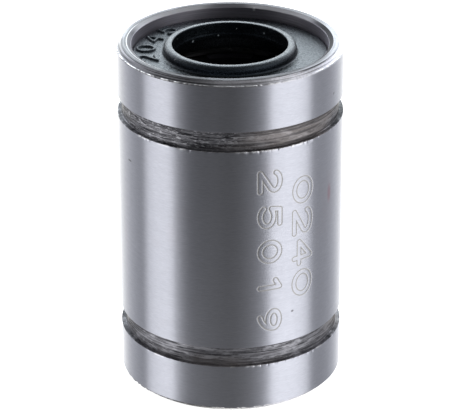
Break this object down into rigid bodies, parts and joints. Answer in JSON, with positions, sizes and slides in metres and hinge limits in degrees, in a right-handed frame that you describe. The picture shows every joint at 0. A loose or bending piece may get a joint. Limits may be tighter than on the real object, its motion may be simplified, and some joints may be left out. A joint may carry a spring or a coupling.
{
  "type": "linear ball bushing",
  "caption": "Sealed cylindrical linear ball bushing: a ground steel sleeve with outer snap-ring grooves, rubber end seals and recirculating balls that carry a sliding shaft.",
  "frame": {"origin": "the middle of the bushing, on the shaft's axis", "axes": "+Z along the shaft's axis, +X through the middle of a loaded ball row"},
  "size_m": [0.012, 0.012, 0.019],
  "materials": {
    "ground_steel": "ground round the axis, satin, with dark turned snap-ring grooves",
    "seal_rubber": "moulded black rubber with a faint sheen",
    "cage_resin": "moulded black acetal resin, matte",
    "ball_steel": "polished bearing steel",
    "spring_steel": "stamped spring steel, oiled",
    "plate_steel": "stamped, plain"
  },
  "bodies": {
    "bushing_body": {"outer_sleeve": "ground_steel", "ball_cage": "cage_resin", "retaining_ring_top": "spring_steel", "retaining_ring_bottom": "spring_steel", "seal_plate_top": "plate_steel", "seal_plate_bottom": "plate_steel", "end_seal_top": "seal_rubber", "end_seal_bottom": "seal_rubber"},
    "loaded_row_1": {"loaded_ball_1_1": "ball_steel", "loaded_ball_1_2": "ball_steel", "loaded_ball_1_3": "ball_steel", "loaded_ball_1_4": "ball_steel", "loaded_ball_1_5": "ball_steel", "loaded_ball_1_6": "ball_steel", "loaded_ball_1_7": "ball_steel"},
    "return_row_1": {"return_balls_1": "ball_steel"},
    "top_turn_1": {"top_turn_balls_1": "ball_steel"},
    "bottom_turn_1": {"bottom_turn_balls_1": "ball_steel"},
    "loaded_row_2": {"loaded_ball_2_1": "ball_steel", "loaded_ball_2_2": "ball_steel", "loaded_ball_2_3": "ball_steel", "loaded_ball_2_4": "ball_steel", "loaded_ball_2_5": "ball_steel", "loaded_ball_2_6": "ball_steel", "loaded_ball_2_7": "ball_steel"},
    "return_row_2": {"return_balls_2": "ball_steel"},
    "top_turn_2": {"top_turn_balls_2": "ball_steel"},
    "bottom_turn_2": {"bottom_turn_balls_2": "ball_steel"},
    "loaded_row_3": {"loaded_ball_3_1": "ball_steel", "loaded_ball_3_2": "ball_steel", "loaded_ball_3_3": "ball_steel", "loaded_ball_3_4": "ball_steel", "loaded_ball_3_5": "ball_steel", "loaded_ball_3_6": "ball_steel", "loaded_ball_3_7": "ball_steel"},
    "return_row_3": {"return_balls_3": "ball_steel"},
    "top_turn_3": {"top_turn_balls_3": "ball_steel"},
    "bottom_turn_3": {"bottom_turn_balls_3": "ball_steel"},
    "loaded_row_4": {"loaded_ball_4_1": "ball_steel", "loaded_ball_4_2": "ball_steel", "loaded_ball_4_3": "ball_steel", "loaded_ball_4_4": "ball_steel", "loaded_ball_4_5": "ball_steel", "loaded_ball_4_6": "ball_steel", "loaded_ball_4_7": "ball_steel"},
    "return_row_4": {"return_balls_4": "ball_steel"},
    "top_turn_4": {"top_turn_balls_4": "ball_steel"},
    "bottom_turn_4": {"bottom_turn_balls_4": "ball_steel"}
  },
  "joints": [
    {"name": "loaded_row_1_slide", "type": "slide", "parent": "bushing_body", "child": "loaded_row_1", "axis": [0, 0, 1], "range_m": [-0.00063, 0.00063]},
    {"name": "return_row_1_slide", "type": "slide", "parent": "bushing_body", "child": "return_row_1", "axis": [0, 0, 1], "range_m": [-0.00063, 0.00063]},
    {"name": "top_turn_1_hinge", "type": "hinge", "parent": "bushing_body", "child": "top_turn_1", "pos_m": [0.0036, 0.0012, 0.0044], "axis": [1, 0, 0], "range_deg": [-30, 30]},
    {"name": "bottom_turn_1_hinge", "type": "hinge", "parent": "bushing_body", "child": "bottom_turn_1", "pos_m": [0.0036, 0.0012, -0.0044], "axis": [1, 0, 0], "range_deg": [-30, 30]},
    {"name": "loaded_row_2_slide", "type": "slide", "parent": "bushing_body", "child": "loaded_row_2", "axis": [0, 0, 1], "range_m": [-0.00063, 0.00063]},
    {"name": "return_row_2_slide", "type": "slide", "parent": "bushing_body", "child": "return_row_2", "axis": [0, 0, 1], "range_m": [-0.00063, 0.00063]},
    {"name": "top_turn_2_hinge", "type": "hinge", "parent": "bushing_body", "child": "top_turn_2", "pos_m": [-0.0012, 0.0036, 0.0044], "axis": [0, 1, 0], "range_deg": [-30, 30]},
    {"name": "bottom_turn_2_hinge", "type": "hinge", "parent": "bushing_body", "child": "bottom_turn_2", "pos_m": [-0.0012, 0.0036, -0.0044], "axis": [0, 1, 0], "range_deg": [-30, 30]},
    {"name": "loaded_row_3_slide", "type": "slide", "parent": "bushing_body", "child": "loaded_row_3", "axis": [0, 0, 1], "range_m": [-0.00063, 0.00063]},
    {"name": "return_row_3_slide", "type": "slide", "parent": "bushing_body", "child": "return_row_3", "axis": [0, 0, 1], "range_m": [-0.00063, 0.00063]},
    {"name": "top_turn_3_hinge", "type": "hinge", "parent": "bushing_body", "child": "top_turn_3", "pos_m": [-0.0036, -0.0012, 0.0044], "axis": [-1, 0, 0], "range_deg": [-30, 30]},
    {"name": "bottom_turn_3_hinge", "type": "hinge", "parent": "bushing_body", "child": "bottom_turn_3", "pos_m": [-0.0036, -0.0012, -0.0044], "axis": [-1, 0, 0], "range_deg": [-30, 30]},
    {"name": "loaded_row_4_slide", "type": "slide", "parent": "bushing_body", "child": "loaded_row_4", "axis": [0, 0, 1], "range_m": [-0.00063, 0.00063]},
    {"name": "return_row_4_slide", "type": "slide", "parent": "bushing_body", "child": "return_row_4", "axis": [0, 0, 1], "range_m": [-0.00063, 0.00063]},
    {"name": "top_turn_4_hinge", "type": "hinge", "parent": "bushing_body", "child": "top_turn_4", "pos_m": [0.0012, -0.0036, 0.0044], "axis": [0, -1, 0], "range_deg": [-30, 30]},
    {"name": "bottom_turn_4_hinge", "type": "hinge", "parent": "bushing_body", "child": "bottom_turn_4", "pos_m": [0.0012, -0.0036, -0.0044], "axis": [0, -1, 0], "range_deg": [-30, 30]}
  ],
  "couplings": [
    {"joint": "return_row_1_slide", "follows": "loaded_row_1_slide", "ratio": -1},
    {"joint": "top_turn_1_hinge", "follows": "loaded_row_1_slide", "rad_per_m": -833.33},
    {"joint": "bottom_turn_1_hinge", "follows": "loaded_row_1_slide", "rad_per_m": -833.33},
    {"joint": "return_row_2_slide", "follows": "loaded_row_2_slide", "ratio": -1},
    {"joint": "top_turn_2_hinge", "follows": "loaded_row_2_slide", "rad_per_m": -833.33},
    {"joint": "bottom_turn_2_hinge", "follows": "loaded_row_2_slide", "rad_per_m": -833.33},
    {"joint": "return_row_3_slide", "follows": "loaded_row_3_slide", "ratio": -1},
    {"joint": "top_turn_3_hinge", "follows": "loaded_row_3_slide", "rad_per_m": -833.33},
    {"joint": "bottom_turn_3_hinge", "follows": "loaded_row_3_slide", "rad_per_m": -833.33},
    {"joint": "return_row_4_slide", "follows": "loaded_row_4_slide", "ratio": -1},
    {"joint": "top_turn_4_hinge", "follows": "loaded_row_4_slide", "rad_per_m": -833.33},
    {"joint": "bottom_turn_4_hinge", "follows": "loaded_row_4_slide", "rad_per_m": -833.33}
  ]
}
